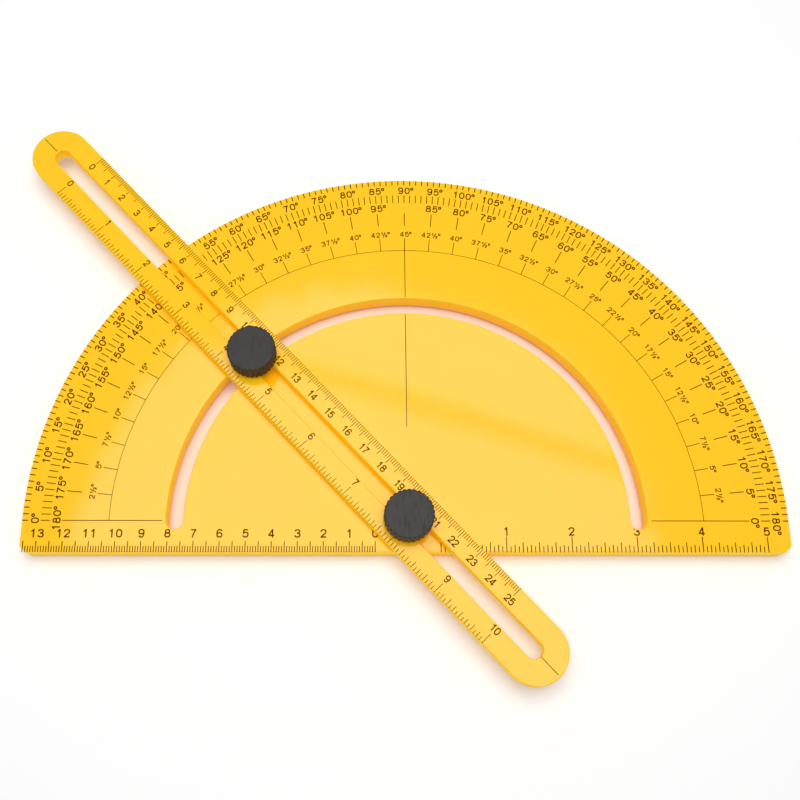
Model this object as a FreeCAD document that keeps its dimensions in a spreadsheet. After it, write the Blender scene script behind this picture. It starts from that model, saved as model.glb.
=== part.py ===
import FreeCAD, Part
import math
import os
import Sketcher
from FreeCAD import Rotation, Vector

# Semicircular protractor with a slotted ruler arm that turns about a pivot and slides along itself,
# clamped by two fluted knobs. Millimetres. +Z is up out of the printed face, +X runs along the base,
# +Y towards the 90 degree mark. The origin is the middle of the straight base edge's face. Each piece
# at the pivot or the arc slot is drawn about its own axis, with z = 0 on the plate's back face for the
# plate and the screws, and on the piece's own underside for the rest.

doc = FreeCAD.newDocument("semicircular_protractor")
sheet = doc.addObject("Spreadsheet::Sheet", "Sizes")

# name, value or formula, what it is
sizes = [
    ("plate_radius", "149", "outer rim radius"),
    ("base_drop", "12.3", "0 degree line to base edge"),
    ("corner_chamfer", "2.5", "chamfer of the two lower corners"),
    ("plate_thickness", "10", "whole plate"),
    ("plate_edge", "0.5", "rounding of the plate's outline"),
    ("slot_radius", "90.3", "centre line of the arc slot"),
    ("slot_width", "6.8", "arc slot and ruler slot"),
    ("slot_edge", "0.35", "rounding of the slot's upper edges"),
    ("recess_depth", "2.4", "screw head recess in the back"),
    ("head_play", "0.3", "screw head to recess wall, each side"),
    ("arm_length", "308", "ruler over its round ends"),
    ("arm_width", "25", "ruler"),
    ("arm_thickness", "5", "ruler"),
    ("arm_end_web", "10", "ruler left past each end of its slot"),
    ("arm_edge", "0.4", "rounding of the ruler's outline"),
    ("arm_reading", "46.85", "angle shown, counted from the left end of the 0 degree line"),
    ("arm_shift", "73.4", "ruler's middle from the pivot, towards its zero end"),
    ("head_radius", "6.5", "both screws"),
    ("head_height", "2.2", "both screws"),
    ("head_chamfer", "0.4", "rim of the screw head"),
    ("neck_play", "0.15", "screw neck to slot wall, each side"),
    ("neck_gap", "0.2", "top of the neck below the ruler's face"),
    ("shoulder_radius", "4", "round part of the pivot screw in the plate"),
    ("running_play", "0.05", "pivot screw in its hole, each side"),
    ("shoulder_gap", "0.1", "round part of a screw to the plate's face, below it or above it"),
    ("thread_radius", "3", "both screws"),
    ("thread_play", "0.03", "screw in insert, each side"),
    ("tip_gap", "0.3", "screw tip below the insert's inner end"),
    ("tip_chamfer", "0.6", "screw tip"),
    ("washer_radius", "7", "washer under the knob"),
    ("washer_height", "0.8", "washer under the knob"),
    ("washer_play", "0.2", "screw in washer, each side"),
    ("knob_radius", "9.6", "over the ridges"),
    ("knob_height", "8.8", "both knobs"),
    ("knob_edge", "0.8", "rounding of the top edge"),
    ("knob_foot", "0.4", "chamfer of the foot"),
    ("flute_radius", "0.6", "grip flute"),
    ("flute_offset", "9.75", "flute centre from the knob's axis"),
    ("flute_count", "30", "grip flutes round a knob"),
    ("insert_radius", "4.25", "threaded insert"),
    ("insert_length", "5.8", "threaded insert"),
    ("insert_chamfer", "0.3", "lead-in of the insert"),
    # worked out from the values above
    ("pivot_y", "=base_drop", "pivot above the base edge"),
    ("back_z", "=0 - plate_thickness / 2", "back face"),
    ("arm_z", "=back_z + plate_thickness", "underside of the ruler"),
    ("washer_z", "=arm_z + arm_thickness", "underside of the washers"),
    ("knob_z", "=washer_z + washer_height", "underside of the knobs"),
    ("base_half", "=plate_radius - corner_chamfer", "half of the straight base"),
    ("side_drop", "=base_drop - corner_chamfer", "0 degree line to chamfer"),
    ("slot_outer", "=slot_radius + slot_width / 2", ""),
    ("slot_inner", "=slot_radius - slot_width / 2", ""),
    ("recess_half", "=head_radius + head_play", ""),
    ("recess_outer", "=slot_radius + recess_half", ""),
    ("recess_inner", "=slot_radius - recess_half", ""),
    ("pivot_hole_radius", "=shoulder_radius + running_play", ""),
    ("arm_end_radius", "=arm_width / 2", ""),
    ("arm_end_centre", "=arm_length / 2 - arm_end_radius", ""),
    ("arm_slot_radius", "=slot_width / 2", ""),
    ("arm_slot_centre", "=arm_length / 2 - arm_end_web - arm_slot_radius", ""),
    ("head_base", "=recess_depth - head_height", "underside of the head"),
    ("neck_width", "=slot_width - 2 * neck_play", ""),
    ("neck_top", "=plate_thickness + arm_thickness - neck_gap", ""),
    ("neck_height", "=neck_top - recess_depth", ""),
    ("neck_radius", "=neck_width / 2", ""),
    ("slide_top", "=plate_thickness + shoulder_gap", "top of the round neck in the arc slot"),
    ("slide_height", "=slide_top - recess_depth", ""),
    ("square_height", "=neck_top - slide_top", ""),
    ("shoulder_top", "=plate_thickness - shoulder_gap", ""),
    ("flat_height", "=neck_top - shoulder_top", ""),
    ("flat_half", "=neck_width / 2", ""),
    ("flat_reach", "=shoulder_radius + 1", ""),
    ("thread_top", "=knob_z - back_z + insert_length - tip_gap", ""),
    ("thread_height", "=thread_top - neck_top", ""),
    ("washer_hole", "=thread_radius + washer_play", ""),
    ("insert_bore", "=thread_radius + thread_play", ""),
    ("foot_radius", "=knob_radius - knob_foot", ""),
    ("cos_arm", "=cos(arm_reading * 1 deg)", ""),
    ("sin_arm", "=sin(arm_reading * 1 deg)", ""),
    ("arm_x", "=0 - arm_shift * cos_arm", ""),
    ("arm_y", "=pivot_y + arm_shift * sin_arm", ""),
    ("clamp_x", "=0 - slot_radius * cos_arm", ""),
    ("clamp_y", "=pivot_y + slot_radius * sin_arm", ""),
]
for row, (name, value, note) in enumerate(sizes, 1):
    sheet.set("A%d" % row, name)
    sheet.set("B%d" % row, value)
    sheet.set("C%d" % row, note)
    sheet.setAlias("B%d" % row, name)
doc.recompute()


def size(name):
    return float(sheet.get(name))


def new_body(name, x=None, y="pivot_y", z="back_z", turned=False):
    """Body at a place given by aliases, turned clockwise by the ruler's angle if asked."""
    body = doc.addObject("PartDesign::Body", name)
    body.Label = name
    if turned:
        body.Placement = FreeCAD.Placement(Vector(0, 0, 0), Rotation(Vector(0, 0, -1), 45))
        body.setExpression("Placement.Rotation.Angle", "Sizes.arm_reading * 1 deg")
    for axis, alias in (("x", x), ("y", y), ("z", z)):
        if alias:
            body.setExpression("Placement.Base.%s" % axis, "Sizes.%s * 1 mm" % alias)
    return body


def origin_part(body, role):
    """Origin plane or axis of a body, such as XY_Plane or Z_Axis."""
    return [f for f in body.Origin.OriginFeatures if f.Role == role][0]


def new_sketch(body, name, plane="XY_Plane", height=None):
    sk = body.newObject("Sketcher::SketchObject", name)
    sk.AttachmentSupport = (origin_part(body, plane), [""])
    sk.MapMode = "FlatFace"
    if height:
        sk.setExpression("AttachmentOffset.Base.z", "Sizes.%s * 1 mm" % height)
    return sk


def dim(sk, kind, where, alias):
    """One dimension of a sketch, driven by the sheet."""
    i = sk.addConstraint(Sketcher.Constraint(kind, *where, size(alias)))
    sk.setExpression("Constraints[%d]" % i, "Sizes.%s * 1 mm" % alias)


def rule(sk, kind, *where):
    sk.addConstraint(Sketcher.Constraint(kind, *where))


def line(sk, x0, y0, x1, y1):
    return sk.addGeometry(Part.LineSegment(Vector(x0, y0, 0), Vector(x1, y1, 0)), False)


def arc(sk, x, y, r, a0, a1):
    circle = Part.Circle(Vector(x, y, 0), Vector(0, 0, 1), r)
    return sk.addGeometry(Part.ArcOfCircle(circle, a0, a1), False)


def circle(sk, radius):
    g = sk.addGeometry(Part.Circle(Vector(0, 0, 0), Vector(0, 0, 1), size(radius)), False)
    rule(sk, "Coincident", g, 3, -1, 1)
    dim(sk, "Radius", (g,), radius)


def arc_slot(sk, outer, inner):
    """Half ring round the pivot with round ends that stand on the 0 degree line."""
    ro, ri = size(outer), size(inner)
    mid, cap = (ro + ri) / 2, (ro - ri) / 2
    a = arc(sk, 0, 0, ro, 0, math.pi)
    b = arc(sk, 0, 0, ri, 0, math.pi)
    right = arc(sk, mid, 0, cap, math.pi, 2 * math.pi)
    left = arc(sk, -mid, 0, cap, math.pi, 2 * math.pi)
    for g, radius in ((a, outer), (b, inner)):
        rule(sk, "Coincident", g, 3, -1, 1)
        dim(sk, "Radius", (g,), radius)
        rule(sk, "PointOnObject", g, 1, -1)
        rule(sk, "PointOnObject", g, 2, -1)
    for g, first, second in ((right, (b, 1), (a, 1)), (left, (a, 2), (b, 2))):
        rule(sk, "Coincident", g, 1, *first)
        rule(sk, "Coincident", g, 2, *second)
        rule(sk, "PointOnObject", g, 3, -1)


def obround(sk, centre, radius):
    """Straight slot shape along X, centred on the sketch's origin."""
    c, r = size(centre), size(radius)
    top = line(sk, c, r, -c, r)
    left = arc(sk, -c, 0, r, math.pi / 2, 3 * math.pi / 2)
    low = line(sk, -c, -r, c, -r)
    right = arc(sk, c, 0, r, -math.pi / 2, math.pi / 2)
    rule(sk, "Tangent", top, 2, left, 1)
    rule(sk, "Tangent", left, 2, low, 1)
    rule(sk, "Tangent", low, 2, right, 1)
    rule(sk, "Tangent", right, 2, top, 1)
    for g in (left, right):
        rule(sk, "PointOnObject", g, 3, -1)
        dim(sk, "Radius", (g,), radius)
    dim(sk, "DistanceX", (left, 3, -1, 1), centre)
    dim(sk, "DistanceX", (-1, 1, right, 3), centre)


def square(sk, width):
    """Square centred on the sketch's origin."""
    h = size(width) / 2
    g = [line(sk, -h, -h, h, -h), line(sk, h, -h, h, h), line(sk, h, h, -h, h), line(sk, -h, h, -h, -h)]
    for i in range(4):
        rule(sk, "Coincident", g[i], 2, g[(i + 1) % 4], 1)
    for i, way in enumerate(("Horizontal", "Vertical", "Horizontal", "Vertical")):
        rule(sk, way, g[i])
    rule(sk, "Symmetric", g[0], 1, g[1], 2, -1, 1)
    dim(sk, "DistanceX", (g[0], 1, g[0], 2), width)
    dim(sk, "DistanceY", (g[1], 1, g[1], 2), width)


def feature(body, kind, name, profile, length):
    """Pad up from a sketch, or Pocket down from it."""
    f = body.newObject("PartDesign::" + kind, name)
    f.Profile = profile
    f.setExpression("Length", "Sizes.%s * 1 mm" % length)
    profile.Visibility = False
    doc.recompute()
    return f


def edges(feat, test):
    """Names of the edges whose every sampled point passes the test."""
    names = []
    for i, e in enumerate(feat.Shape.Edges, 1):
        pts = e.discretize(5)
        if all(test(p) for p in pts):
            names.append("Edge%d" % i)
    return names


def soften(body, kind, name, feat, test, alias):
    """Fillet or Chamfer of the chosen edges."""
    f = body.newObject("PartDesign::" + kind, name)
    f.Base = (feat, edges(feat, test))
    field = "Radius" if kind == "Fillet" else "Size"
    setattr(f, field, size(alias))
    f.setExpression(field, "Sizes.%s * 1 mm" % alias)
    feat.Visibility = False
    doc.recompute()
    return f


def near(a, b):
    return abs(a - b) < 0.01


# protractor_plate: half disc with a base strip, the arc slot, the pivot hole and the head recesses.
body = new_body("protractor_plate")
sk = new_sketch(body, "plate_outline")
R, H, S, D = size("plate_radius"), size("base_half"), size("side_drop"), size("base_drop")
rim = arc(sk, 0, 0, R, 0, math.pi)
left = line(sk, -R, 0, -R, -S)
left_cut = line(sk, -R, -S, -H, -D)
base = line(sk, -H, -D, H, -D)
right_cut = line(sk, H, -D, R, -S)
right = line(sk, R, -S, R, 0)
rule(sk, "Coincident", rim, 3, -1, 1)
dim(sk, "Radius", (rim,), "plate_radius")
rule(sk, "PointOnObject", rim, 1, -1)
rule(sk, "PointOnObject", rim, 2, -1)
for g, h in ((rim, left), (left, left_cut), (left_cut, base), (base, right_cut), (right_cut, right)):
    rule(sk, "Coincident", g, 2, h, 1)
rule(sk, "Coincident", right, 2, rim, 1)
rule(sk, "Vertical", left)
rule(sk, "Vertical", right)
rule(sk, "Horizontal", base)
dim(sk, "DistanceY", (left, 2, -1, 1), "side_drop")
dim(sk, "DistanceY", (right, 1, -1, 1), "side_drop")
dim(sk, "DistanceY", (base, 1, -1, 1), "base_drop")
dim(sk, "DistanceX", (base, 1, -1, 1), "base_half")
dim(sk, "DistanceX", (-1, 1, base, 2), "base_half")
feature(body, "Pad", "plate_slab", sk, "plate_thickness")
sk = new_sketch(body, "arc_slot", height="plate_thickness")
arc_slot(sk, "slot_outer", "slot_inner")
feature(body, "Pocket", "arc_slot_cut", sk, "plate_thickness")
sk = new_sketch(body, "arc_recess", height="recess_depth")
arc_slot(sk, "recess_outer", "recess_inner")
feature(body, "Pocket", "arc_recess_cut", sk, "recess_depth")
sk = new_sketch(body, "pivot_hole", height="plate_thickness")
circle(sk, "pivot_hole_radius")
feature(body, "Pocket", "pivot_hole_cut", sk, "plate_thickness")
sk = new_sketch(body, "pivot_recess", height="recess_depth")
circle(sk, "recess_half")
last = feature(body, "Pocket", "pivot_recess_cut", sk, "recess_depth")
T = size("plate_thickness")


def on_outline(p):
    """On the plate's outline, at either face."""
    if not (near(p.z, 0) or near(p.z, T)):
        return False
    radial = near((p.x ** 2 + p.y ** 2) ** 0.5, R) and p.y > -0.01
    side = near(abs(p.x), R) and p.y < 0.01
    low = near(p.y, -D)
    corner = near(abs(p.x) - H + (-p.y - S), size("corner_chamfer")) and p.y < -S + 0.01
    return radial or side or low or corner


def on_slot_top(p):
    r = (p.x ** 2 + p.y ** 2) ** 0.5
    return near(p.z, T) and size("slot_inner") - 4 < r < size("slot_outer") + 1


last = soften(body, "Fillet", "outline_rounding", last, on_outline, "plate_edge")
last = soften(body, "Fillet", "slot_rounding", last, on_slot_top, "slot_edge")

# ruler_arm: straight ruler with round ends and a long slot, drawn about its own middle.
body = new_body("ruler_arm", "arm_x", "arm_y", "arm_z", turned=True)
sk = new_sketch(body, "arm_outline")
obround(sk, "arm_end_centre", "arm_end_radius")
feature(body, "Pad", "arm_slab", sk, "arm_thickness")
sk = new_sketch(body, "arm_slot", height="arm_thickness")
obround(sk, "arm_slot_centre", "arm_slot_radius")
last = feature(body, "Pocket", "arm_slot_cut", sk, "arm_thickness")
AT, AW = size("arm_thickness"), size("arm_slot_radius") + 0.01


def in_slot(p):
    dx = max(abs(p.x) - size("arm_slot_centre"), 0)
    return (dx ** 2 + p.y ** 2) ** 0.5 < AW


last = soften(body, "Fillet", "arm_rounding", last,
              lambda p: (near(p.z, 0) or near(p.z, AT)) and not in_slot(p), "arm_edge")
last = soften(body, "Fillet", "arm_slot_rounding", last,
              lambda p: near(p.z, AT) and in_slot(p), "slot_edge")


def screw_head(body):
    """Low round head in the back recess."""
    sk = new_sketch(body, "head", height="head_base")
    circle(sk, "head_radius")
    pad = feature(body, "Pad", "head_disc", sk, "head_height")
    return soften(body, "Chamfer", "head_rim", pad, lambda p: near(p.z, size("head_base")),
                  "head_chamfer")


def screw_thread(body):
    """Round threaded end with a chamfered tip."""
    sk = new_sketch(body, "thread", height="neck_top")
    circle(sk, "thread_radius")
    pad = feature(body, "Pad", "thread_rod", sk, "thread_height")
    return soften(body, "Chamfer", "thread_tip", pad, lambda p: near(p.z, size("thread_top")),
                  "tip_chamfer")


# pivot_screw: round shoulder in the plate, two flats in the ruler's slot, threaded end.
body = new_body("pivot_screw", turned=True)
screw_head(body)
sk = new_sketch(body, "shoulder", height="recess_depth")
circle(sk, "shoulder_radius")
feature(body, "Pad", "shoulder_rod", sk, "neck_height")
sk = new_sketch(body, "flats", height="neck_top")
F, W = size("flat_half"), size("flat_reach")
for s in (1, -1):
    a = line(sk, -W, s * F, W, s * F)
    b = line(sk, W, s * F, W, s * W)
    c = line(sk, W, s * W, -W, s * W)
    d = line(sk, -W, s * W, -W, s * F)
    for g, h in ((a, b), (b, c), (c, d), (d, a)):
        rule(sk, "Coincident", g, 2, h, 1)
    rule(sk, "Horizontal", a)
    rule(sk, "Horizontal", c)
    rule(sk, "Vertical", b)
    rule(sk, "Vertical", d)
    dim(sk, "DistanceX", (-1, 1, a, 2), "flat_reach")
    dim(sk, "DistanceX", (a, 1, -1, 1), "flat_reach")
    for g, alias in ((a, "flat_half"), (c, "flat_reach")):
        dim(sk, "DistanceY", (-1, 1, g, 1) if s > 0 else (g, 1, -1, 1), alias)
feature(body, "Pocket", "flat_cuts", sk, "flat_height")
screw_thread(body)

# arc_screw: round neck that runs to the very ends of the arc slot, square neck that the ruler's slot
# keeps from turning, threaded end.
body = new_body("arc_screw", "clamp_x", "clamp_y", turned=True)
screw_head(body)
sk = new_sketch(body, "round_neck", height="recess_depth")
circle(sk, "neck_radius")
feature(body, "Pad", "round_neck_rod", sk, "slide_height")
sk = new_sketch(body, "square_neck", height="slide_top")
square(sk, "neck_width")
feature(body, "Pad", "square_neck_block", sk, "square_height")
screw_thread(body)

# Knobs, their threaded inserts and the washers under them, at the pivot and at the arc slot.
for place, x, y in (("pivot", None, "pivot_y"), ("arc", "clamp_x", "clamp_y")):
    body = new_body(place + "_washer", x, y, "washer_z")
    sk = new_sketch(body, "washer_outline")
    circle(sk, "washer_radius")
    feature(body, "Pad", "washer_disc", sk, "washer_height")
    sk = new_sketch(body, "washer_bore", height="washer_height")
    circle(sk, "washer_hole")
    feature(body, "Pocket", "washer_bore_cut", sk, "washer_height")

    body = new_body(place + "_knob_insert", x, y, "knob_z")
    sk = new_sketch(body, "insert_outline")
    circle(sk, "insert_radius")
    feature(body, "Pad", "insert_sleeve", sk, "insert_length")
    sk = new_sketch(body, "insert_bore", height="insert_length")
    circle(sk, "insert_bore")
    last = feature(body, "Pocket", "insert_bore_cut", sk, "insert_length")
    soften(body, "Chamfer", "insert_lead", last,
           lambda p: near(p.z, 0) and (p.x ** 2 + p.y ** 2) ** 0.5 < size("insert_bore") + 0.01,
           "insert_chamfer")

    body = new_body(place + "_knob", x, y, "knob_z")
    sk = new_sketch(body, "knob_profile", "XZ_Plane")
    r, f, e, h = size("knob_radius"), size("knob_foot"), size("knob_edge"), size("knob_height")
    foot = line(sk, 0, 0, r - f, 0)
    cut = line(sk, r - f, 0, r, f)
    side = line(sk, r, f, r, h - e)
    edge = arc(sk, r - e, h - e, e, 0, math.pi / 2)
    top = line(sk, r - e, h, 0, h)
    axis = line(sk, 0, h, 0, 0)
    rule(sk, "Coincident", foot, 1, -1, 1)
    rule(sk, "Coincident", foot, 2, cut, 1)
    rule(sk, "Coincident", cut, 2, side, 1)
    rule(sk, "Tangent", side, 2, edge, 1)
    rule(sk, "Tangent", edge, 2, top, 1)
    rule(sk, "Coincident", top, 2, axis, 1)
    rule(sk, "Coincident", axis, 2, foot, 1)
    rule(sk, "Horizontal", foot)
    rule(sk, "Vertical", side)
    rule(sk, "Horizontal", top)
    rule(sk, "Vertical", axis)
    dim(sk, "DistanceX", (foot, 1, foot, 2), "foot_radius")
    dim(sk, "DistanceX", (foot, 1, cut, 2), "knob_radius")
    dim(sk, "DistanceY", (foot, 1, cut, 2), "knob_foot")
    dim(sk, "Radius", (edge,), "knob_edge")
    dim(sk, "DistanceY", (foot, 1, top, 2), "knob_height")
    turn = body.newObject("PartDesign::Revolution", "knob_turning")
    turn.Profile = sk
    turn.ReferenceAxis = (sk, ["V_Axis"])
    turn.Angle = 360
    sk.Visibility = False
    sk = new_sketch(body, "flute", height="knob_height")
    g = sk.addGeometry(Part.Circle(Vector(size("flute_offset"), 0, 0), Vector(0, 0, 1),
                                   size("flute_radius")), False)
    rule(sk, "PointOnObject", g, 3, -1)
    dim(sk, "DistanceX", (-1, 1, g, 3), "flute_offset")
    dim(sk, "Radius", (g,), "flute_radius")
    flute = feature(body, "Pocket", "flute_cut", sk, "knob_height")
    ring = body.newObject("PartDesign::PolarPattern", "flutes")
    ring.Originals = [flute]
    ring.Axis = (origin_part(body, "Z_Axis"), [""])
    ring.Angle = 360
    ring.Occurrences = int(size("flute_count"))
    ring.setExpression("Occurrences", "Sizes.flute_count")
    body.Tip = ring
    doc.recompute()
    sk = new_sketch(body, "knob_bore", height="insert_length")
    circle(sk, "insert_radius")
    feature(body, "Pocket", "knob_bore_cut", sk, "insert_length")

doc.recompute()
os.makedirs("parts", exist_ok=True)
for obj in doc.Objects:
    if "Invalid" in obj.State or "Error" in obj.State:
        raise RuntimeError("%s is %s" % (obj.Name, obj.State))
    if obj.isDerivedFrom("Sketcher::SketchObject") and obj.solve() != 0:
        raise RuntimeError("sketch %s does not solve" % obj.Name)
for body in doc.Objects:
    if body.TypeId != "PartDesign::Body":
        continue
    shape = body.Shape
    if not shape.isValid() or len(shape.Solids) != 1:
        raise RuntimeError("%s is not one valid solid" % body.Label)
    shape.exportStep("parts/%s.step" % body.Label)
    b = shape.BoundBox
    print("%-20s volume %10.2f  x %8.2f %8.2f  y %8.2f %8.2f  z %6.2f %6.2f"
          % (body.Label, shape.Volume, b.XMin, b.XMax, b.YMin, b.YMax, b.ZMin, b.ZMax))
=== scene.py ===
import math
import bpy
from mathutils import Matrix, Vector


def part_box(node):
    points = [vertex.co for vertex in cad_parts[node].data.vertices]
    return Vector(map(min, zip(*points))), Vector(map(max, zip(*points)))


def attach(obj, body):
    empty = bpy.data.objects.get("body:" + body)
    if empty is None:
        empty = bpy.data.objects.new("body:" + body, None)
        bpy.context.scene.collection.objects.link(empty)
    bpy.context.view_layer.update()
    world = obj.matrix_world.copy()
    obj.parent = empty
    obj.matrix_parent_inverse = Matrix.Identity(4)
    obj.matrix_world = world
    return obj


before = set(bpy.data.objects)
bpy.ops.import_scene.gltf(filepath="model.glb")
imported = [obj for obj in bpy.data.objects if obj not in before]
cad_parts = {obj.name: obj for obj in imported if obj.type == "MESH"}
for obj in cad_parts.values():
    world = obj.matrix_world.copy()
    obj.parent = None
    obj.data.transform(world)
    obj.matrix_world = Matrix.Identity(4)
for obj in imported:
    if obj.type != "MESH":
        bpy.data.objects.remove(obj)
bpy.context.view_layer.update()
bpy.ops.object.select_all(action="DESELECT")
MM = 0.001


# Camera: held low over the middle of the base, tipped back a little, with a normal lens. The
# photograph is cropped off its lens axis, which the small shift repeats.
CAMERA_PLACE = (-18.9 * MM, -57.9 * MM, 382.4 * MM)
CAMERA_TURN = (math.radians(17.54), math.radians(-0.97), math.radians(-0.12))
SENSOR_WIDTH = 36
FOCAL_LENGTH = 44.2
LENS_SHIFT = 0.03
bpy.ops.object.camera_add(location=CAMERA_PLACE, rotation=CAMERA_TURN)
camera = bpy.context.object
camera.name = "photo_camera"
camera.data.sensor_width = SENSOR_WIDTH
camera.data.lens = FOCAL_LENGTH
camera.data.shift_x = LENS_SHIFT
bpy.context.scene.camera = camera
bpy.context.scene.view_settings.view_transform = "Standard"


# Floor and room: a white sweep that stays white to the camera and in reflections, and still takes
# the object's shadow. Under the plate, out to the arc slot, its colour is painted pink: painted shade, tinted
# like light come through the plastic, that shows through the slots.
plate_low, plate_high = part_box("protractor_plate")
PIVOT = Vector((0, 12.3 * MM, 0))
SLOT_OUTER, SLOT_INNER = 93.7 * MM, 86.9 * MM
FLOOR_SIZE = 8.0
FLOOR_GAP = 0.02 * MM
WHITENED = 0.06
WHITE_FROM, WHITE_AT = 0.22, 0.9
PAPER = (0.99, 0.99, 0.99)
# Painted shade: a pink floor colour under the plate, fading out at the slot's rim and at the base edge.
PAINTED_SHADE_UNDER_PLATE = (0.925, 0.79, 0.72)
PAINTED_SHADE_RIM = (97 * MM, 105 * MM)
PAINTED_SHADE_BASE = (4 * MM, 7 * MM)
ROOM_LIGHT = 0.38


def math_node(nodes, links, operation, first, second=0.0):
    """Math node whose inputs are sockets or numbers."""
    node = nodes.new("ShaderNodeMath")
    node.operation = operation
    for socket, value in zip(node.inputs, (first, second)):
        if isinstance(value, (int, float)):
            socket.default_value = value
        else:
            links.new(value, socket)
    return node.outputs[0]


def ranged(nodes, links, value, low, high, first=0.0, last=1.0):
    """Carries a value from the range low to high over to first to last."""
    node = nodes.new("ShaderNodeMapRange")
    for key, number in (("From Min", low), ("From Max", high), ("To Min", first), ("To Max", last)):
        node.inputs[key].default_value = number
    links.new(value, node.inputs["Value"])
    return node.outputs["Result"]


def mixed(nodes, links, factor, first, second):
    """Mix of two colours. The first may also be another node's output."""
    node = nodes.new("ShaderNodeMix")
    node.data_type = "RGBA"
    if isinstance(first, tuple):
        node.inputs["A"].default_value = (*first, 1)
    else:
        links.new(first, node.inputs["A"])
    node.inputs["B"].default_value = (*second, 1)
    links.new(factor, node.inputs["Factor"])
    return node.outputs["Result"]


def distance(nodes, links, place, point):
    """Distance of each place from a point."""
    node = nodes.new("ShaderNodeVectorMath")
    node.operation = "DISTANCE"
    node.inputs[1].default_value = point
    links.new(place, node.inputs[0])
    return node.outputs["Value"]


def seen_directly(nodes, links):
    """1 for camera, mirror and glass rays, 0 for light that falls on things."""
    path = nodes.new("ShaderNodeLightPath")
    either = math_node(nodes, links, "MAXIMUM", path.outputs["Is Camera Ray"], path.outputs["Is Glossy Ray"])
    return math_node(nodes, links, "MAXIMUM", either, path.outputs["Is Transmission Ray"])


bpy.ops.mesh.primitive_plane_add(size=FLOOR_SIZE, location=(0, 0, plate_low.z - FLOOR_GAP))
floor = bpy.context.object
floor.name = "studio_floor"
floor_white = bpy.data.materials.new("floor_white")
floor_white.use_nodes = True
nodes, links = floor_white.node_tree.nodes, floor_white.node_tree.links
nodes.clear()
place = nodes.new("ShaderNodeTexCoord").outputs["Object"]
along = nodes.new("ShaderNodeSeparateXYZ")
links.new(place, along.inputs[0])
# Mask of the painted pink shade under the plate.
inside = ranged(nodes, links, distance(nodes, links, place, PIVOT), *PAINTED_SHADE_RIM, 1.0, 0.0)
beyond_base = ranged(nodes, links, along.outputs["Y"], *PAINTED_SHADE_BASE)
painted_shade_mask = math_node(nodes, links, "MULTIPLY", inside, beyond_base)
paper = nodes.new("ShaderNodeBsdfDiffuse")
links.new(mixed(nodes, links, painted_shade_mask, PAPER, PAINTED_SHADE_UNDER_PLATE), paper.inputs["Color"])
fade = ranged(nodes, links, distance(nodes, links, place, (0, 0, 0)), WHITE_FROM, WHITE_AT, WHITENED, 1.0)
blend = nodes.new("ShaderNodeMixShader")
links.new(math_node(nodes, links, "MULTIPLY", seen_directly(nodes, links), fade), blend.inputs[0])
links.new(paper.outputs[0], blend.inputs[1])
links.new(nodes.new("ShaderNodeEmission").outputs[0], blend.inputs[2])
links.new(blend.outputs[0], nodes.new("ShaderNodeOutputMaterial").inputs["Surface"])
floor.data.materials.append(floor_white)

room = bpy.data.worlds.new("white_room")
room.use_nodes = True
bpy.context.scene.world = room
nodes, links = room.node_tree.nodes, room.node_tree.links
nodes.clear()
air = nodes.new("ShaderNodeBackground")
air.inputs["Color"].default_value = (1, 1, 1, 1)
links.new(ranged(nodes, links, seen_directly(nodes, links), 0.0, 1.0, ROOM_LIGHT), air.inputs["Strength"])
links.new(air.outputs[0], nodes.new("ShaderNodeOutputWorld").inputs["Surface"])


# Lamp: a round softbox straight overhead, with a dark bar across it. Its reflection lies on the
# middle of the plate as a pale disc with a darker stripe. It is laid out in strips along the bar.
LAMP_HEIGHT = 0.9
LAMP_CENTRE = Vector((-0.012, 0.138, LAMP_HEIGHT))
LAMP_RADIUS = 0.372
LAMP_TURN = math.radians(-17.6)
LAMP_RADIANCE = 4.8
BELOW_BAR = ((-1.0, -0.93), (-0.93, -0.8), (-0.8, -0.6), (-0.6, -0.3), (-0.3, 0.1), (0.1, 0.37), (0.37, 0.54))
ABOVE_BAR = ((0.605, 0.72), (0.72, 0.82), (0.82, 0.91), (0.91, 0.97))

for low, high in BELOW_BAR + ABOVE_BAR:
    middle = (low + high) / 2
    across = Vector((-math.sin(LAMP_TURN), math.cos(LAMP_TURN), 0)) * middle * LAMP_RADIUS
    bpy.ops.object.light_add(type="AREA", location=LAMP_CENTRE + across, rotation=(0, 0, LAMP_TURN))
    strip = bpy.context.object
    strip.name = "softbox_strip"
    strip.data.shape = "RECTANGLE"
    strip.data.size = 2 * LAMP_RADIUS * math.sqrt(1 - middle * middle)
    strip.data.size_y = LAMP_RADIUS * (high - low)
    strip.data.energy = LAMP_RADIANCE * math.pi * strip.data.size * strip.data.size_y


# Plate: one thick moulding in glossy yellow plastic. Its faces have faint flow marks and fine rub marks and
# aren't quite flat.
# Its upright walls have a painted orange glow, stronger towards the top, for light that the plastic carries,
# and its faces a faint painted red glow that warms their shade.
RUB_TURN = (0, 0, 0.15)
RUB_STRETCH = (5, 1, 1)
RUB_FROM, RUB_FULL = 0.52, 0.8
# Painted glow: the share of it that walls keep at the back, and the faint red glow painted on the faces.
PAINTED_GLOW_AT_BACK = 0.1
PAINTED_RED_GLOW = (0.09, 0.0, 0.0)


def noise(nodes, links, place, size, detail):
    """Noise of a size that is a socket or a number."""
    tex = nodes.new("ShaderNodeTexNoise")
    tex.inputs["Detail"].default_value = detail
    links.new(place, tex.inputs["Vector"])
    if isinstance(size, float):
        tex.inputs["Scale"].default_value = size
    else:
        links.new(size, tex.inputs["Scale"])
    return tex.outputs["Fac"]


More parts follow.
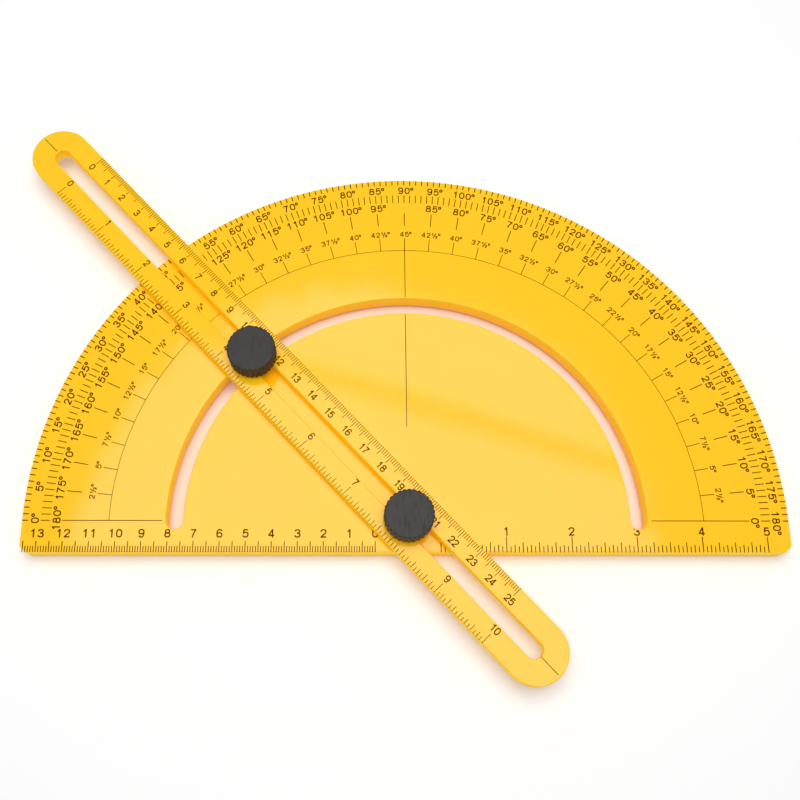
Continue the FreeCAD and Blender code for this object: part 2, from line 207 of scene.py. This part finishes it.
def moulding_group():
    """Surface of moulded plastic.

    It has slow waves from shrinkage, fine grain and rub marks, and tells the walls from the faces:
    walls may be rougher, and Painted Glow is the mask for painted light on them, more of it towards the top.
    """
    group = bpy.data.node_groups.new("moulded_surface", "ShaderNodeTree")
    for name, value in (("Wave Size", 30.0), ("Wave Height", 1.0), ("Grain Size", 3000.0),
                        ("Grain Height", 0.1), ("Rub Size", 400.0), ("Rub Amount", 0.1),
                        ("Roughness", 0.3), ("Wall Roughness", 0.0)):
        socket = group.interface.new_socket(name, in_out="INPUT", socket_type="NodeSocketFloat")
        socket.default_value = value
    for name in ("Height", "Roughness", "Tone", "Marks", "Painted Glow"):
        group.interface.new_socket(name, in_out="OUTPUT", socket_type="NodeSocketFloat")
    nodes, links = group.nodes, group.links
    given = nodes.new("NodeGroupInput").outputs
    out = nodes.new("NodeGroupOutput").inputs
    coordinates = nodes.new("ShaderNodeTexCoord")
    place = coordinates.outputs["Object"]

    def combined(operation, first, second=0.0):
        return math_node(nodes, links, operation, first, second)

    wave = noise(nodes, links, place, given["Wave Size"], 1)
    grain = noise(nodes, links, place, given["Grain Size"], 2)
    links.new(combined("ADD", combined("MULTIPLY", wave, given["Wave Height"]),
                       combined("MULTIPLY", grain, given["Grain Height"])), out["Height"])
    links.new(wave, out["Tone"])

    stretched = nodes.new("ShaderNodeMapping")
    stretched.inputs["Rotation"].default_value = RUB_TURN
    stretched.inputs["Scale"].default_value = RUB_STRETCH
    links.new(place, stretched.inputs["Vector"])
    rub = noise(nodes, links, stretched.outputs[0], given["Rub Size"], 4)
    marks = combined("MULTIPLY", ranged(nodes, links, rub, RUB_FROM, RUB_FULL), given["Rub Amount"])
    links.new(marks, out["Marks"])

    upright = nodes.new("ShaderNodeSeparateXYZ")
    links.new(coordinates.outputs["Normal"], upright.inputs[0])
    wall = combined("SUBTRACT", 1.0, combined("ABSOLUTE", upright.outputs["Z"]))
    links.new(combined("ADD", combined("ADD", given["Roughness"], marks),
                       combined("MULTIPLY", wall, given["Wall Roughness"])), out["Roughness"])
    level = nodes.new("ShaderNodeSeparateXYZ")
    links.new(place, level.inputs[0])
    # Mask of the painted glow: on the walls, fading towards the back.
    depth = ranged(nodes, links, level.outputs["Z"], plate_low.z, plate_high.z, PAINTED_GLOW_AT_BACK)
    links.new(combined("MULTIPLY", wall, depth), out["Painted Glow"])
    return group


moulded_surface = moulding_group()


def plastic(name, light, dark, worn, bump, **settings):
    """Moulded finish between two tones, paler where it is rubbed, with the group's surface."""
    mat = bpy.data.materials.new(name)
    mat.use_nodes = True
    nodes, links = mat.node_tree.nodes, mat.node_tree.links
    skin = nodes["Principled BSDF"]
    surface = nodes.new("ShaderNodeGroup")
    surface.name = "surface"
    surface.node_tree = moulded_surface
    for key, value in settings.items():
        surface.inputs[key.replace("_", " ")].default_value = value
    tone = mixed(nodes, links, surface.outputs["Tone"], light, dark)
    links.new(mixed(nodes, links, surface.outputs["Marks"], tone, worn), skin.inputs["Base Color"])
    links.new(surface.outputs["Roughness"], skin.inputs["Roughness"])
    relief = nodes.new("ShaderNodeBump")
    relief.inputs["Distance"].default_value = bump
    links.new(surface.outputs["Height"], relief.inputs["Height"])
    links.new(relief.outputs[0], skin.inputs["Normal"])
    return mat


def dress(node, mat):
    """Gives a CAD node its finish."""
    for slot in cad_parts[node].material_slots:
        slot.material = mat


def yellow_moulding(name, painted_wall_glow):
    """Glossy yellow plastic, with a painted glow: painted_wall_glow on its walls near the top, a faint
    painted red glow elsewhere.
    """
    mat = plastic(name, (0.94, 0.578, 0.006), (0.92, 0.545, 0.004), (0.95, 0.66, 0.08), 1.0 * MM,
                  Wave_Size=18.0, Wave_Height=0.1, Grain_Size=2500.0, Grain_Height=0.001,
                  Rub_Size=60.0, Rub_Amount=0.03, Roughness=0.08, Wall_Roughness=0.5)
    nodes, links = mat.node_tree.nodes, mat.node_tree.links
    skin = nodes["Principled BSDF"]
    skin.inputs["Specular IOR Level"].default_value = 0.24
    painted_glow_mask = nodes["surface"].outputs["Painted Glow"]
    # Painted glow: emission from the mask, standing in for light that the plastic carries.
    links.new(mixed(nodes, links, painted_glow_mask, PAINTED_RED_GLOW, painted_wall_glow), skin.inputs["Emission Color"])
    skin.inputs["Emission Strength"].default_value = 1.0
    return mat


# The plate's walls get a painted orange glow.
dress("protractor_plate", yellow_moulding("plate_plastic", (0.225, 0.185, 0.01)))


# Degree ticks: pad printed in dark brown ink, a stroke for each degree round the rim and another
# row inside the outer numbers. Strokes at an edge run on over its rounding.
FACE = plate_high.z
RIM = 149 * MM
PLATE_ROUNDING = 0.5 * MM
INK_TOP = 0.03 * MM
INK_ROOT = 0.03 * MM
INK_GRAIN = 900.0
TICK = 0.34 * MM
RIM_TICK = 0.408 * MM
RIM_TICKS = (146.6 * MM, RIM)
INNER_TICKS = (138.1 * MM, 141.7 * MM)
FIVE_DEGREE_TICKS = (127.3 * MM, 133.1 * MM)
BENDS = ((0, 20), (20, 40), (40, 60))

ink = bpy.data.materials.new("printed_ink")
ink.use_nodes = True
nodes, links = ink.node_tree.nodes, ink.node_tree.links
coverage = noise(nodes, links, nodes.new("ShaderNodeTexCoord").outputs["Object"], INK_GRAIN, 3)
skin = nodes["Principled BSDF"]
links.new(mixed(nodes, links, coverage, (0.095, 0.020, 0.001), (0.135, 0.032, 0.001)),
          skin.inputs["Base Color"])
skin.inputs["Roughness"].default_value = 0.7
skin.inputs["Specular IOR Level"].default_value = 0.0


def stroke(width, start, end, face, rounding=0.0):
    """One stroke of ink along +Y on a face; with a rounding it bends down over the edge at its end."""
    flat = end - rounding
    bpy.ops.mesh.primitive_cube_add(size=1, location=(0, (start + flat) / 2, face + (INK_TOP - INK_ROOT) / 2))
    piece = bpy.context.object
    piece.scale = (width, flat - start, INK_TOP + INK_ROOT)
    bpy.ops.object.transform_apply(location=True, rotation=True, scale=True)
    if rounding:
        bpy.ops.object.mode_set(mode="EDIT")
        bpy.ops.mesh.select_all(action="DESELECT")
        bpy.ops.object.mode_set(mode="OBJECT")
        for side in piece.data.polygons:
            side.select = side.normal.y > 0.9
        bpy.ops.object.mode_set(mode="EDIT")
        bpy.ops.mesh.select_mode(type="FACE")
        for low, high in BENDS:
            low, high = math.radians(low), math.radians(high)
            out = rounding * (math.sin(high) - math.sin(low))
            down = rounding * (math.cos(high) - math.cos(low))
            bpy.ops.mesh.extrude_region_move(TRANSFORM_OT_translate={"value": (0, out, down)})
        bpy.ops.object.mode_set(mode="OBJECT")
    return piece


def turned(piece, degrees, centre=PIVOT):
    """Turns a piece about a point on the plate and leaves its origin at zero."""
    piece.data.transform(Matrix.Translation(centre) @ Matrix.Rotation(math.radians(degrees), 4, "Z"))
    return piece


def spun(piece, count, step, centre=PIVOT):
    """Copies of a piece, clockwise about a point, step degrees apart."""
    bpy.ops.object.select_all(action="DESELECT")
    piece.select_set(True)
    bpy.context.view_layer.objects.active = piece
    bpy.ops.object.mode_set(mode="EDIT")
    bpy.ops.mesh.select_all(action="SELECT")
    bpy.ops.mesh.spin(steps=count - 1, dupli=True, angle=math.radians(step * (count - 1)),
                      center=centre, axis=(0, 0, 1))
    bpy.ops.object.mode_set(mode="OBJECT")
    return piece


def joined(name, parts, body):
    """Joins strokes or digits to one printed piece, which rides on a body."""
    bpy.ops.object.select_all(action="DESELECT")
    for part in parts:
        part.select_set(True)
    bpy.context.view_layer.objects.active = parts[0]
    if len(parts) > 1:
        bpy.ops.object.join()
    piece = bpy.context.object
    piece.name = name
    piece.data.name = name
    piece.data.materials.clear()
    piece.data.materials.append(ink)
    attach(piece, body)
    return piece


ticks = spun(turned(stroke(RIM_TICK, *RIM_TICKS, FACE, PLATE_ROUNDING), 90), 181, 1)
joined("rim_degree_ticks", [ticks], "plate")
ticks = spun(turned(stroke(TICK, *INNER_TICKS, FACE), 90), 181, 1)
joined("inner_degree_ticks", [ticks], "plate")
ticks = spun(turned(stroke(TICK, *FIVE_DEGREE_TICKS, FACE), 85), 35, 5)
joined("five_degree_ticks", [ticks], "plate")


# Degree numbers: digits of one plain wide face, each drawn once as strokes of even weight on a grid
# one cap high, and printed round the pivot with their feet towards it.
DEGREE_CAP = 3.1 * MM
OUTER_FEET = 142.4 * MM
INNER_FEET = 134.1 * MM
INK_WEIGHT = 0.155
CURVE_STEPS = 4
LEFT, RIGHT, FOOT, HEAD = -0.295, 0.295, 0.075, 0.925
SIX = [("loop", (-0.285, 0.07), (0.285, 0.07), (0.285, 0.57), (-0.285, 0.57)),
       ("bend", (-0.285, 0.33), (-0.30, 0.90), (0.18, 0.98), (0.26, 0.75))]
TWO = [("bend", (-0.28, 0.66), (-0.26, HEAD), (0.28, HEAD), (0.28, 0.55), (0.0, 0.36), (-0.26, FOOT)),
       ("line", (-0.33, FOOT), (0.32, FOOT))]
ONE = [("line", (0.07, 0.0), (0.07, 1.0)),
       ("bend", (-0.20, 0.72), (-0.02, 0.78), (0.07, 0.97))]
DIGITS = {
    "0": [("loop", (LEFT, FOOT), (RIGHT, FOOT), (RIGHT, HEAD), (LEFT, HEAD))],
    "1": ONE,
    "2": TWO,
    "3": [("bend", (-0.27, 0.72), (-0.25, HEAD), (0.25, HEAD), (0.25, 0.54), (-0.07, 0.535)),
          ("bend", (-0.07, 0.535), (0.29, 0.53), (0.29, FOOT), (-0.27, FOOT), (-0.29, 0.28))],
    "4": [("line", (0.13, 0.0), (0.13, 1.0)), ("line", (0.13, 0.96), (-0.31, 0.29)),
          ("line", (-0.35, 0.27), (0.33, 0.27))],
    "5": [("line", (0.27, HEAD), (-0.21, HEAD)), ("line", (-0.17, 0.96), (-0.26, 0.45)),
          ("bend", (-0.27, 0.47), (-0.08, 0.64), (0.29, 0.64), (0.29, FOOT), (-0.26, FOOT), (-0.30, 0.27))],
    "6": SIX,
    "7": [("line", (-0.31, HEAD), (0.31, HEAD)), ("bend", (0.28, 0.93), (-0.04, 0.55), (-0.12, 0.0))],
    "8": [("loop", (-0.235, 0.545), (0.235, 0.545), (0.235, HEAD), (-0.235, HEAD)),
          ("loop", (-0.285, FOOT), (0.285, FOOT), (0.285, 0.54), (-0.285, 0.54))],
    "9": [(kind, *[(-x, 1 - y) for x, y in points]) for kind, *points in SIX],
    "degree": [("loop", (-0.155, 0.62), (0.155, 0.62), (0.155, 0.94), (-0.155, 0.94))],
    "half": [(kind, *[(x / 2 - 0.35, y / 2 + 0.5) for x, y in points]) for kind, *points in ONE]
            + [("line", (-0.24, -0.03), (0.22, 1.03))]
            + [(kind, *[(x / 2 + 0.36, y / 2) for x, y in points]) for kind, *points in TWO],
}
PITCH = {"half": 1.32, "degree": 0.4}

bpy.ops.object.add(type="CURVE")
nib = bpy.context.object
nib.data.dimensions = "2D"
edge = nib.data.splines.new("POLY")
edge.points.add(3)
for point, (x, y) in zip(edge.points, ((-1, -1), (1, -1), (1, 1), (-1, 1))):
    point.co = (x * INK_WEIGHT / 2, y * (INK_TOP + INK_ROOT) / 2, 0, 1)
edge.use_cyclic_u = True


def drawn(strokes):
    """A digit's strokes swept by the nib, as a mesh."""
    bpy.ops.object.add(type="CURVE")
    digit = bpy.context.object
    digit.data.dimensions = "2D"
    digit.data.resolution_u = CURVE_STEPS
    for kind, *points in strokes:
        spline = digit.data.splines.new("POLY" if kind == "line" else "NURBS")
        spline.points.add(len(points) - 1)
        for point, (x, y) in zip(spline.points, points):
            point.co = (x, y, 0, 1)
        if kind != "line":
            spline.order_u = 3
            spline.resolution_u = CURVE_STEPS
            spline.use_endpoint_u = kind == "bend"
            spline.use_cyclic_u = kind == "loop"
    digit.data.bevel_mode = "OBJECT"
    digit.data.bevel_object = nib
    digit.data.use_fill_caps = True
    bpy.ops.object.convert(target="MESH")
    digit = bpy.context.object
    mesh = digit.data.copy()
    bpy.data.objects.remove(digit)
    return mesh


digit_meshes = {sign: drawn(strokes) for sign, strokes in DIGITS.items()}
bpy.data.objects.remove(nib)


def label(signs, cap, place, face, narrow=1.0, spacing=0.9):
    """Signs side by side, centred on the origin of a 4x4 place. A degree ring hangs past their end."""
    widths = [PITCH.get(sign, spacing) for sign in signs]
    x = -sum(width for sign, width in zip(signs, widths) if sign != "degree") / 2
    parts = []
    for sign, width in zip(signs, widths):
        mesh = digit_meshes[sign].copy()
        mesh.transform(Matrix.Diagonal((cap * narrow, cap, 1, 1)) @ Matrix.Translation((x + width / 2, 0, 0)))
        mesh.transform(place @ Matrix.Translation((0, 0, face + (INK_TOP - INK_ROOT) / 2)))
        part = bpy.data.objects.new("digit", mesh)
        bpy.context.collection.objects.link(part)
        parts.append(part)
        x += width
    return parts


def round_pivot(angle, radius):
    """Place on the plate at a printed angle, counted clockwise from the left, facing outwards."""
    return (Matrix.Translation(PIVOT) @ Matrix.Rotation(math.radians(90 - angle), 4, "Z")
            @ Matrix.Translation((0, radius, 0)))


outer = []
inner = []
for angle in range(0, 181, 5):
    outer += label([*str(angle), "degree"], DEGREE_CAP, round_pivot(angle, OUTER_FEET), FACE)
    if angle != 90:
        inner += label([*str(180 - angle), "degree"], DEGREE_CAP, round_pivot(angle, INNER_FEET), FACE)
joined("outer_degree_numbers", outer, "plate")
joined("inner_degree_numbers", inner, "plate")


# Half-angle scale: a thin printed arc with a foot every five degrees, and small numbers over the
# feet that count to forty-five in steps of two and a half.
HAIR = 0.2 * MM
FOOT_WIDTH = 0.27 * MM
ARC_RADIUS = 115.55 * MM
FOOT_TOP = 121.2 * MM
HALF_CAP = 2.3 * MM
HALF_FEET = 122.0 * MM

feet = spun(turned(stroke(FOOT_WIDTH, ARC_RADIUS, FOOT_TOP, FACE), 85), 35, 5)
bpy.ops.mesh.primitive_plane_add(size=1)
bow = bpy.context.object
bow.scale = (HAIR, INK_TOP + INK_ROOT, 1)
bow.rotation_euler = (math.pi / 2, 0, 0)
bow.location = (-ARC_RADIUS, PIVOT.y, FACE + (INK_TOP - INK_ROOT) / 2)
bpy.ops.object.transform_apply(location=True, rotation=True, scale=True)
bpy.ops.object.mode_set(mode="EDIT")
bpy.ops.mesh.select_all(action="SELECT")
bpy.ops.mesh.spin(steps=180, angle=math.pi, center=PIVOT, axis=(0, 0, 1))
bpy.ops.mesh.select_all(action="SELECT")
bpy.ops.mesh.normals_make_consistent(inside=False)
bpy.ops.object.mode_set(mode="OBJECT")
joined("half_angle_arc", [bow, feet], "plate")
small = []
for angle in range(5, 180, 5):
    half = min(angle, 180 - angle) / 2
    signs = [*str(int(half)), "degree"] if half == int(half) else [*str(int(half)), "half", "degree"]
    small += label(signs, HALF_CAP, round_pivot(angle, HALF_FEET), FACE)
joined("half_angle_numbers", small, "plate")


# Zero and ninety lines: printed along the diameter through the pivot, broken at the numbers and the
# slot, and upright from the half-angle scale across the slot to above the pivot.
LINE = 0.3 * MM
ZERO_OUTER, ZERO_INNER = 133.5 * MM, 94.9 * MM
NINETY_FOOT = 37.9 * MM
CLEAR_OF_SLOT = 0.4 * MM


def bar(width, x0, y0, x1, y1, face):
    """Stroke of ink between two points of the plate."""
    run = Vector((x1 - x0, y1 - y0, 0))
    piece = stroke(width, 0, run.length, face)
    return turned(piece, math.degrees(math.atan2(-run.x, run.y)), Vector((x0, y0, 0)))


lines = [bar(LINE, side * ZERO_OUTER, PIVOT.y, side * ZERO_INNER, PIVOT.y, FACE) for side in (-1, 1)]
lines.append(bar(LINE, 0, PIVOT.y + FOOT_TOP, 0, PIVOT.y + SLOT_OUTER + CLEAR_OF_SLOT, FACE))
lines.append(bar(LINE, 0, PIVOT.y + SLOT_INNER - CLEAR_OF_SLOT, 0, PIVOT.y + NINETY_FOOT, FACE))
joined("zero_and_ninety_lines", lines, "plate")


# Base scales: printed strokes that stand on the straight edge. Centimetres run out to the left of
# the middle and inches to the right, and the inch figure 3 is cut off by the end of the arc slot.
CENTIMETRE, INCH = 10 * MM, 25.4 * MM
SCALE_START = 12.7 * MM
BASE_CM_TICKS = ((2.45 * MM, 1 * MM, 135), (4.3 * MM, 5 * MM, 28))
BASE_INCH_TICKS = ((2.35 * MM, 1 / 16), (2.95 * MM, 1 / 8), (3.9 * MM, 1 / 4), (6.1 * MM, 1))
BASE_CENTIMETRES, BASE_INCHES = 13, 5
BASE_CAP = 3.3 * MM
BASE_CM_FEET = 5.65 * MM
BASE_INCH_FEET = 6.5 * MM
SLOT_EDGE = 0.35 * MM


def row(width, length, count, pitch, first, face, rounding):
    """Strokes that stand on the base edge, pitch apart from first on."""
    piece = stroke(width, 0, length, face, rounding)
    piece.data.transform(Matrix.Rotation(math.pi, 4, "Z") @ Matrix.Translation((0, -length, 0)))
    piece.data.transform(Matrix.Translation((first, 0, 0)))
    copies = piece.modifiers.new("copies", "ARRAY")
    copies.use_relative_offset = False
    copies.use_constant_offset = True
    copies.constant_offset_displace = (pitch, 0, 0)
    copies.count = count
    bpy.context.view_layer.objects.active = piece
    bpy.ops.object.modifier_apply(modifier="copies")
    return piece


centimetres = [row(TICK, length, count, -pitch, -SCALE_START, FACE, PLATE_ROUNDING)
               for length, pitch, count in BASE_CM_TICKS]
joined("base_centimetre_ticks", centimetres, "plate")
inches = [row(TICK, length, int(BASE_INCHES / part) + 1, part * INCH, SCALE_START, FACE, PLATE_ROUNDING)
          for length, part in BASE_INCH_TICKS]
joined("base_inch_ticks", inches, "plate")
numbers = []
for n in range(BASE_CENTIMETRES + 1):
    place = Matrix.Translation((-SCALE_START - n * CENTIMETRE, BASE_CM_FEET, 0))
    numbers += label([*str(n)], BASE_CAP, place, FACE)
joined("base_centimetre_numbers", numbers, "plate")
numbers = []
for n in range(1, BASE_INCHES + 1):
    place = Matrix.Translation((SCALE_START + n * INCH, BASE_INCH_FEET, 0))
    numbers += label([str(n)], BASE_CAP, place, FACE)
slot_end_radius = (SLOT_OUTER - SLOT_INNER) / 2 + SLOT_EDGE
bpy.ops.mesh.primitive_cylinder_add(vertices=96, radius=slot_end_radius, depth=2 * MM,
                                    location=((SLOT_OUTER + SLOT_INNER) / 2, PIVOT.y, FACE))
slot_end = bpy.context.object
three = numbers[2]
cut = three.modifiers.new("slot_end", "BOOLEAN")
cut.operation = "DIFFERENCE"
cut.object = slot_end
cut.use_self = True
bpy.context.view_layer.objects.active = three
bpy.ops.object.modifier_apply(modifier="slot_end")
bpy.data.objects.remove(slot_end)
joined("base_inch_numbers", numbers, "plate")


# Ruler: a flat bar of the same plastic with a long slot, held under the two knobs. It is printed with
# centimetres along its upper right edge, inches along the other and a line at each end to read by.
ARM_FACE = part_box("ruler_arm")[1].z
ARM_ANGLE = 46.85
ARM_SHIFT = -73.4 * MM
ARM_HALF = 12.5 * MM
ARM_ROUNDING = 0.4 * MM
ARM_ZERO = -128.5 * MM
ARM_TICK = 0.2448 * MM
ARM_CM_TICKS = ((2.4 * MM, 1 * MM, 251), (4.0 * MM, 5 * MM, 51))
ARM_INCH_TICKS = ((1.8 * MM, 1 / 16), (2.5 * MM, 1 / 8), (3.0 * MM, 1 / 4), (4.75 * MM, 1))
ARM_CENTIMETRES, ARM_INCHES = 25, 10
ARM_CAP = 3.0 * MM
ARM_CM_FEET = 4.9 * MM
ARM_INCH_FEET = -6.8 * MM
ARM_NARROW, ARM_SPACING = 0.9, 0.8
END_LINES = ((-152.7 * MM, -144.7 * MM), (144 * MM, 152.8 * MM))
# The ruler's walls get a weaker painted orange glow.
dress("ruler_arm", yellow_moulding("ruler_plastic", (0.17, 0.1, 0.0)))

arm_turn = Matrix.Rotation(math.radians(-ARM_ANGLE), 4, "Z")
on_arm = Matrix.Translation(arm_turn @ Vector((ARM_SHIFT, 0, 0)) + PIVOT) @ arm_turn


def arm_row(side, length, count, pitch):
    """Strokes along one edge of the ruler: side 1 is the centimetre edge, -1 the inch edge."""
    piece = row(ARM_TICK, length, count, pitch, 0, ARM_FACE, ARM_ROUNDING)
    if side > 0:
        piece.data.transform(Matrix.Diagonal((1, -1, 1, 1)))
        piece.data.flip_normals()
    piece.data.transform(on_arm @ Matrix.Translation((ARM_ZERO, side * ARM_HALF, 0)))
    return piece


def arm_numbers(last, pitch, feet):
    """Numbers along the ruler from zero to the last."""
    parts = []
    for n in range(last + 1):
        place = on_arm @ Matrix.Translation((ARM_ZERO + n * pitch, feet, 0))
        parts += label([*str(n)], ARM_CAP, place, ARM_FACE, ARM_NARROW, ARM_SPACING)
    return parts


centimetres = [arm_row(1, length, count, pitch) for length, pitch, count in ARM_CM_TICKS]
joined("ruler_centimetre_ticks", centimetres, "ruler")
inches = [arm_row(-1, length, int(ARM_INCHES / part) + 1, part * INCH) for length, part in ARM_INCH_TICKS]
joined("ruler_inch_ticks", inches, "ruler")
joined("ruler_centimetre_numbers", arm_numbers(ARM_CENTIMETRES, CENTIMETRE, ARM_CM_FEET), "ruler")
joined("ruler_inch_numbers", arm_numbers(ARM_INCHES, INCH, ARM_INCH_FEET), "ruler")
ends = [bar(LINE, start, 0, end, 0, ARM_FACE) for start, end in END_LINES]
for piece in ends:
    piece.data.transform(on_arm)
joined("ruler_end_lines", ends, "ruler")


# Knobs: matt black plastic nuts with fine upright grips, turned down by hand on the screws' ends.
# Their grain is rubbed a little grey.
black_plastic = plastic("black_plastic", (0.023, 0.021, 0.0195), (0.012, 0.0108, 0.01), (0.075, 0.07, 0.065),
                        0.2 * MM, Wave_Size=150.0, Wave_Height=0.2, Grain_Size=5000.0, Grain_Height=0.12,
                        Rub_Size=220.0, Rub_Amount=0.38, Roughness=0.5)
black_plastic.node_tree.nodes["Principled BSDF"].inputs["Specular IOR Level"].default_value = 0.28
dress("pivot_knob", black_plastic)
dress("arc_knob", black_plastic)


# Screws: zinc-plated steel, put in from the back, with the bright uneven skin that plating leaves.
# Their heads lie in the plate's recesses and their necks fill the two slots.
zinc = plastic("zinc_steel", (0.62, 0.63, 0.64), (0.52, 0.53, 0.55), (0.72, 0.73, 0.74),
               0.1 * MM, Wave_Size=300.0, Wave_Height=0.05, Grain_Size=4000.0, Grain_Height=0.1,
               Rub_Size=500.0, Rub_Amount=0.12, Roughness=0.28)
zinc.node_tree.nodes["Principled BSDF"].inputs["Metallic"].default_value = 1
dress("pivot_screw", zinc)
dress("arc_screw", zinc)


# Washers and inserts: black nylon discs that lie loose under the knobs, and brass nuts pressed into
# the knobs' feet.
nylon = plastic("washer_nylon", (0.020, 0.020, 0.021), (0.015, 0.015, 0.016), (0.07, 0.07, 0.07),
                0.1 * MM, Wave_Size=200.0, Wave_Height=0.1, Grain_Size=5000.0, Grain_Height=0.05,
                Rub_Size=300.0, Rub_Amount=0.2, Roughness=0.45)
dress("pivot_washer", nylon)
dress("arc_washer", nylon)
brass = plastic("insert_brass", (0.80, 0.55, 0.22), (0.70, 0.46, 0.17), (0.86, 0.66, 0.34),
                0.1 * MM, Wave_Size=300.0, Wave_Height=0.05, Grain_Size=4000.0, Grain_Height=0.1,
                Rub_Size=500.0, Rub_Amount=0.12, Roughness=0.3)
brass.node_tree.nodes["Principled BSDF"].inputs["Metallic"].default_value = 1
dress("pivot_knob_insert", brass)
dress("arc_knob_insert", brass)
